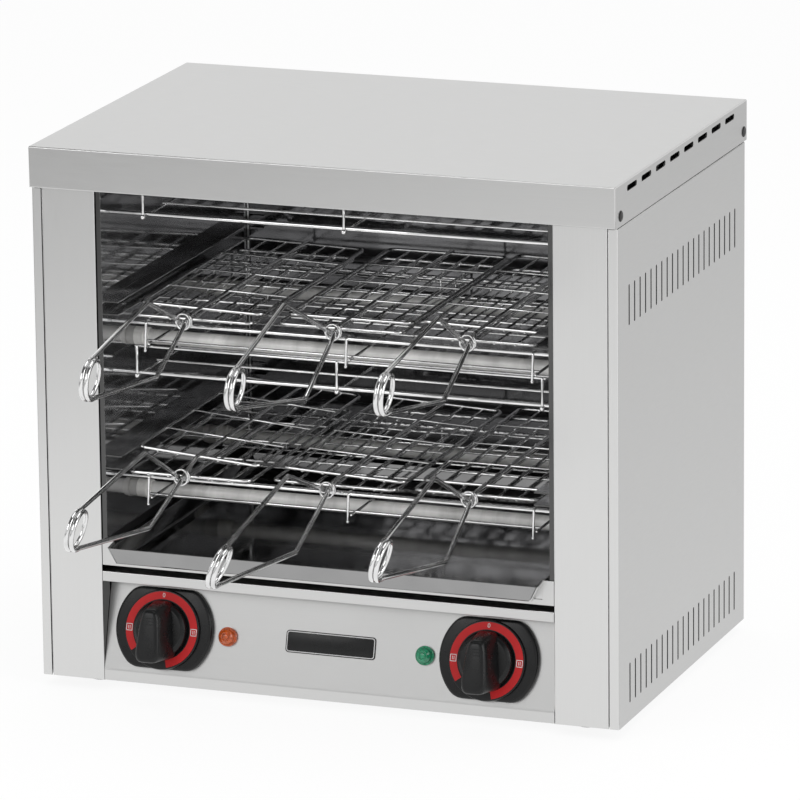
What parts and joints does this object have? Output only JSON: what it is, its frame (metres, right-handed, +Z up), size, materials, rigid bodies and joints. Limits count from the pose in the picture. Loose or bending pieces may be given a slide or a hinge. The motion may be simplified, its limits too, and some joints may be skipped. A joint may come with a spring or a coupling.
{
  "type": "toaster with sandwich tongs",
  "caption": "Countertop toaster in folded steel sheet with stacked open slots between rows of heating tubes, sprung sandwich tongs, a slide-out crumb tray and two control knobs.",
  "frame": {"origin": "under the middle of the whole object's outline, tongs included, on the surface that the feet stand on", "axes": "+Z up; -Y is the open front that the tongs' handles stick out of; +X to the right as seen from the front"},
  "size_m": [0.45, 0.5084, 0.41],
  "materials": {
    "brushed_casing": "brushed stainless sheet with a fine grain",
    "tray_steel": "satin stainless sheet",
    "base_steel": "plain zinc-coated sheet",
    "bright_liner": "bright reflective sheet, dulled by heat",
    "chrome_wire": "polished bright wire",
    "spring_steel": "polished spring wire",
    "quartz": "milky quartz with pale ceramic ends",
    "black_plastic": "black moulded plastic with a faint grain",
    "dark_plastic": "dark moulded plastic",
    "orange_lens": "clear orange lens",
    "green_lens": "clear green lens",
    "foot_rubber": "black rubber"
  },
  "bodies": {
    "root": {"top_cover": "brushed_casing", "left_side_panel": "brushed_casing", "right_side_panel": "brushed_casing", "left_upright": "brushed_casing", "right_upright": "brushed_casing", "control_panel": "brushed_casing", "back_panel": "brushed_casing", "base_plate": "base_steel", "left_front_foot": "foot_rubber", "left_back_foot": "foot_rubber", "right_front_foot": "foot_rubber", "right_back_foot": "foot_rubber", "chamber_floor": "brushed_casing", "left_liner": "bright_liner", "right_liner": "bright_liner", "back_liner": "bright_liner", "low_front_heating_tube": "quartz", "low_back_heating_tube": "quartz", "mid_front_heating_tube": "quartz", "mid_back_heating_tube": "quartz", "top_front_heating_tube": "quartz", "top_back_heating_tube": "quartz", "top_lower_guard": "chrome_wire", "mid_upper_guard": "chrome_wire", "mid_lower_guard": "chrome_wire", "low_upper_guard": "chrome_wire", "timer_dial_plate": "black_plastic", "selector_dial_plate": "black_plastic", "timer_body": "dark_plastic", "selector_body": "dark_plastic", "left_orange_pilot_light": "orange_lens", "right_green_pilot_light": "green_lens", "cord_gland": "black_plastic"},
    "crumb_tray": {"crumb_tray": "tray_steel"},
    "timer_knob": {"timer_knob": "black_plastic"},
    "selector_knob": {"selector_knob": "black_plastic"},
    "tong_1": {"tong_1_lower_jaw": "chrome_wire", "tong_1_spring": "spring_steel"},
    "tong_1_upper": {"tong_1_upper_jaw": "chrome_wire"},
    "tong_1_ring": {"tong_1_ring": "chrome_wire"},
    "tong_2": {"tong_2_lower_jaw": "chrome_wire", "tong_2_spring": "spring_steel"},
    "tong_2_upper": {"tong_2_upper_jaw": "chrome_wire"},
    "tong_2_ring": {"tong_2_ring": "chrome_wire"},
    "tong_3": {"tong_3_lower_jaw": "chrome_wire", "tong_3_spring": "spring_steel"},
    "tong_3_upper": {"tong_3_upper_jaw": "chrome_wire"},
    "tong_3_ring": {"tong_3_ring": "chrome_wire"},
    "tong_4": {"tong_4_lower_jaw": "chrome_wire", "tong_4_spring": "spring_steel"},
    "tong_4_upper": {"tong_4_upper_jaw": "chrome_wire"},
    "tong_4_ring": {"tong_4_ring": "chrome_wire"},
    "tong_5": {"tong_5_lower_jaw": "chrome_wire", "tong_5_spring": "spring_steel"},
    "tong_5_upper": {"tong_5_upper_jaw": "chrome_wire"},
    "tong_5_ring": {"tong_5_ring": "chrome_wire"},
    "tong_6": {"tong_6_lower_jaw": "chrome_wire", "tong_6_spring": "spring_steel"},
    "tong_6_upper": {"tong_6_upper_jaw": "chrome_wire"},
    "tong_6_ring": {"tong_6_ring": "chrome_wire"}
  },
  "joints": [
    {"name": "tong_1_pull", "type": "slide", "parent": "root", "child": "tong_1", "axis": [0, -1, 0], "range_m": [0, 0.27]},
    {"name": "tong_1_open", "type": "hinge", "parent": "tong_1", "child": "tong_1_upper", "pos_m": [-0.10805, -0.22853, 0.28526], "axis": [1, 0, 0], "range_deg": [0, 5], "stiffness_Nm_per_rad": 4, "springref_deg": -5.73},
    {"name": "tong_1_ring_slide", "type": "slide", "parent": "tong_1", "child": "tong_1_ring", "axis": [0.0109, -0.9103, 0.4137], "range_m": [0, 0.0177]},
    {"name": "tong_2_pull", "type": "slide", "parent": "root", "child": "tong_2", "axis": [0, -1, 0], "range_m": [0, 0.27]},
    {"name": "tong_2_open", "type": "hinge", "parent": "tong_2", "child": "tong_2_upper", "pos_m": [-0.00129, -0.22133, 0.28499], "axis": [1, 0, 0], "range_deg": [0, 5], "stiffness_Nm_per_rad": 4, "springref_deg": -5.73},
    {"name": "tong_2_ring_slide", "type": "slide", "parent": "tong_2", "child": "tong_2_ring", "axis": [-0.0226, -0.9025, 0.4302], "range_m": [0, 0.015]},
    {"name": "tong_3_pull", "type": "slide", "parent": "root", "child": "tong_3", "axis": [0, -1, 0], "range_m": [0, 0.27]},
    {"name": "tong_3_open", "type": "hinge", "parent": "tong_3", "child": "tong_3_upper", "pos_m": [0.11167, -0.22583, 0.29124], "axis": [1, 0, 0], "range_deg": [0, 5], "stiffness_Nm_per_rad": 4, "springref_deg": -5.73},
    {"name": "tong_3_ring_slide", "type": "slide", "parent": "tong_3", "child": "tong_3_ring", "axis": [0.0175, -0.8726, 0.488], "range_m": [0, 0.0162]},
    {"name": "tong_4_pull", "type": "slide", "parent": "root", "child": "tong_4", "axis": [0, -1, 0], "range_m": [0, 0.27]},
    {"name": "tong_4_open", "type": "hinge", "parent": "tong_4", "child": "tong_4_upper", "pos_m": [-0.11741, -0.23843, 0.17679], "axis": [1, 0, 0], "range_deg": [0, 5], "stiffness_Nm_per_rad": 4, "springref_deg": -5.73},
    {"name": "tong_4_ring_slide", "type": "slide", "parent": "tong_4", "child": "tong_4_ring", "axis": [-0.0347, -0.8683, 0.4949], "range_m": [0, 0.0177]},
    {"name": "tong_5_pull", "type": "slide", "parent": "root", "child": "tong_5", "axis": [0, -1, 0], "range_m": [0, 0.27]},
    {"name": "tong_5_open", "type": "hinge", "parent": "tong_5", "child": "tong_5_upper", "pos_m": [-0.0126, -0.22943, 0.1566], "axis": [1, 0, 0], "range_deg": [0, 5], "stiffness_Nm_per_rad": 4, "springref_deg": -5.73},
    {"name": "tong_5_ring_slide", "type": "slide", "parent": "tong_5", "child": "tong_5_ring", "axis": [-0.0644, -0.9196, 0.3875], "range_m": [0, 0.0169]},
    {"name": "tong_6_pull", "type": "slide", "parent": "root", "child": "tong_6", "axis": [0, -1, 0], "range_m": [0, 0.27]},
    {"name": "tong_6_open", "type": "hinge", "parent": "tong_6", "child": "tong_6_upper", "pos_m": [0.1061, -0.22223, 0.1699], "axis": [1, 0, 0], "range_deg": [0, 5], "stiffness_Nm_per_rad": 4, "springref_deg": -5.73},
    {"name": "tong_6_ring_slide", "type": "slide", "parent": "tong_6", "child": "tong_6_ring", "axis": [-0.0045, -0.8935, 0.449], "range_m": [0, 0.0152]},
    {"name": "crumb_tray_slide", "type": "slide", "parent": "root", "child": "crumb_tray", "axis": [0, -1, 0], "range_m": [0, 0.25]},
    {"name": "timer_knob_turn", "type": "hinge", "parent": "root", "child": "timer_knob", "pos_m": [-0.1299, -0.04627, 0.0486], "axis": [0, 0.9662, -0.2577], "range_deg": [0, 300]},
    {"name": "selector_knob_turn", "type": "hinge", "parent": "root", "child": "selector_knob", "pos_m": [0.1237, -0.04627, 0.0486], "axis": [0, 0.9662, -0.2577], "range_deg": [0, 270]}
  ],
  "couplings": [
    {"joint": "tong_1_ring_slide", "follows": "tong_1_open", "m_per_rad": 0.2019},
    {"joint": "tong_2_ring_slide", "follows": "tong_2_open", "m_per_rad": 0.1717},
    {"joint": "tong_3_ring_slide", "follows": "tong_3_open", "m_per_rad": 0.185},
    {"joint": "tong_4_ring_slide", "follows": "tong_4_open", "m_per_rad": 0.2028},
    {"joint": "tong_5_ring_slide", "follows": "tong_5_open", "m_per_rad": 0.1936},
    {"joint": "tong_6_ring_slide", "follows": "tong_6_open", "m_per_rad": 0.1733}
  ]
}
